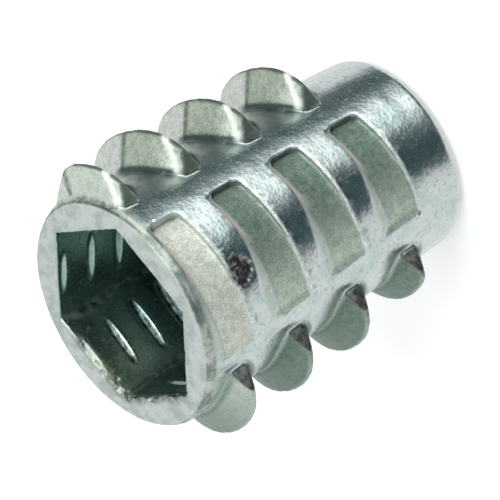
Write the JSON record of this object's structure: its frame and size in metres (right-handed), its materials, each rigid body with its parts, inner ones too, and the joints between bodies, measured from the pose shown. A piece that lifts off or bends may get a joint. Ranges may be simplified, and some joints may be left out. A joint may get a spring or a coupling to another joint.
{
  "type": "threaded insert",
  "caption": "Tapered zinc sleeve with a machine thread through it, a hexagon key socket in its mouth and a coarse wood thread of separate lobes outside.",
  "frame": {"origin": "centre of the pilot end, the end that goes into the wood first and that it stands on", "axes": "+Z along the axis from the pilot end to the mouth with the hexagon socket; the lobes of the wood thread lie on +Y and -Y, and the pockets on +X and -X"},
  "size_m": [0.0086, 0.0109, 0.013],
  "materials": {
    "insert_body": "bright zinc plating over a zinc die casting, matt where it is as cast and shiny where it is worn"
  },
  "bodies": {
    "root": {"insert_body": "insert_body"}
  },
  "joints": []
}
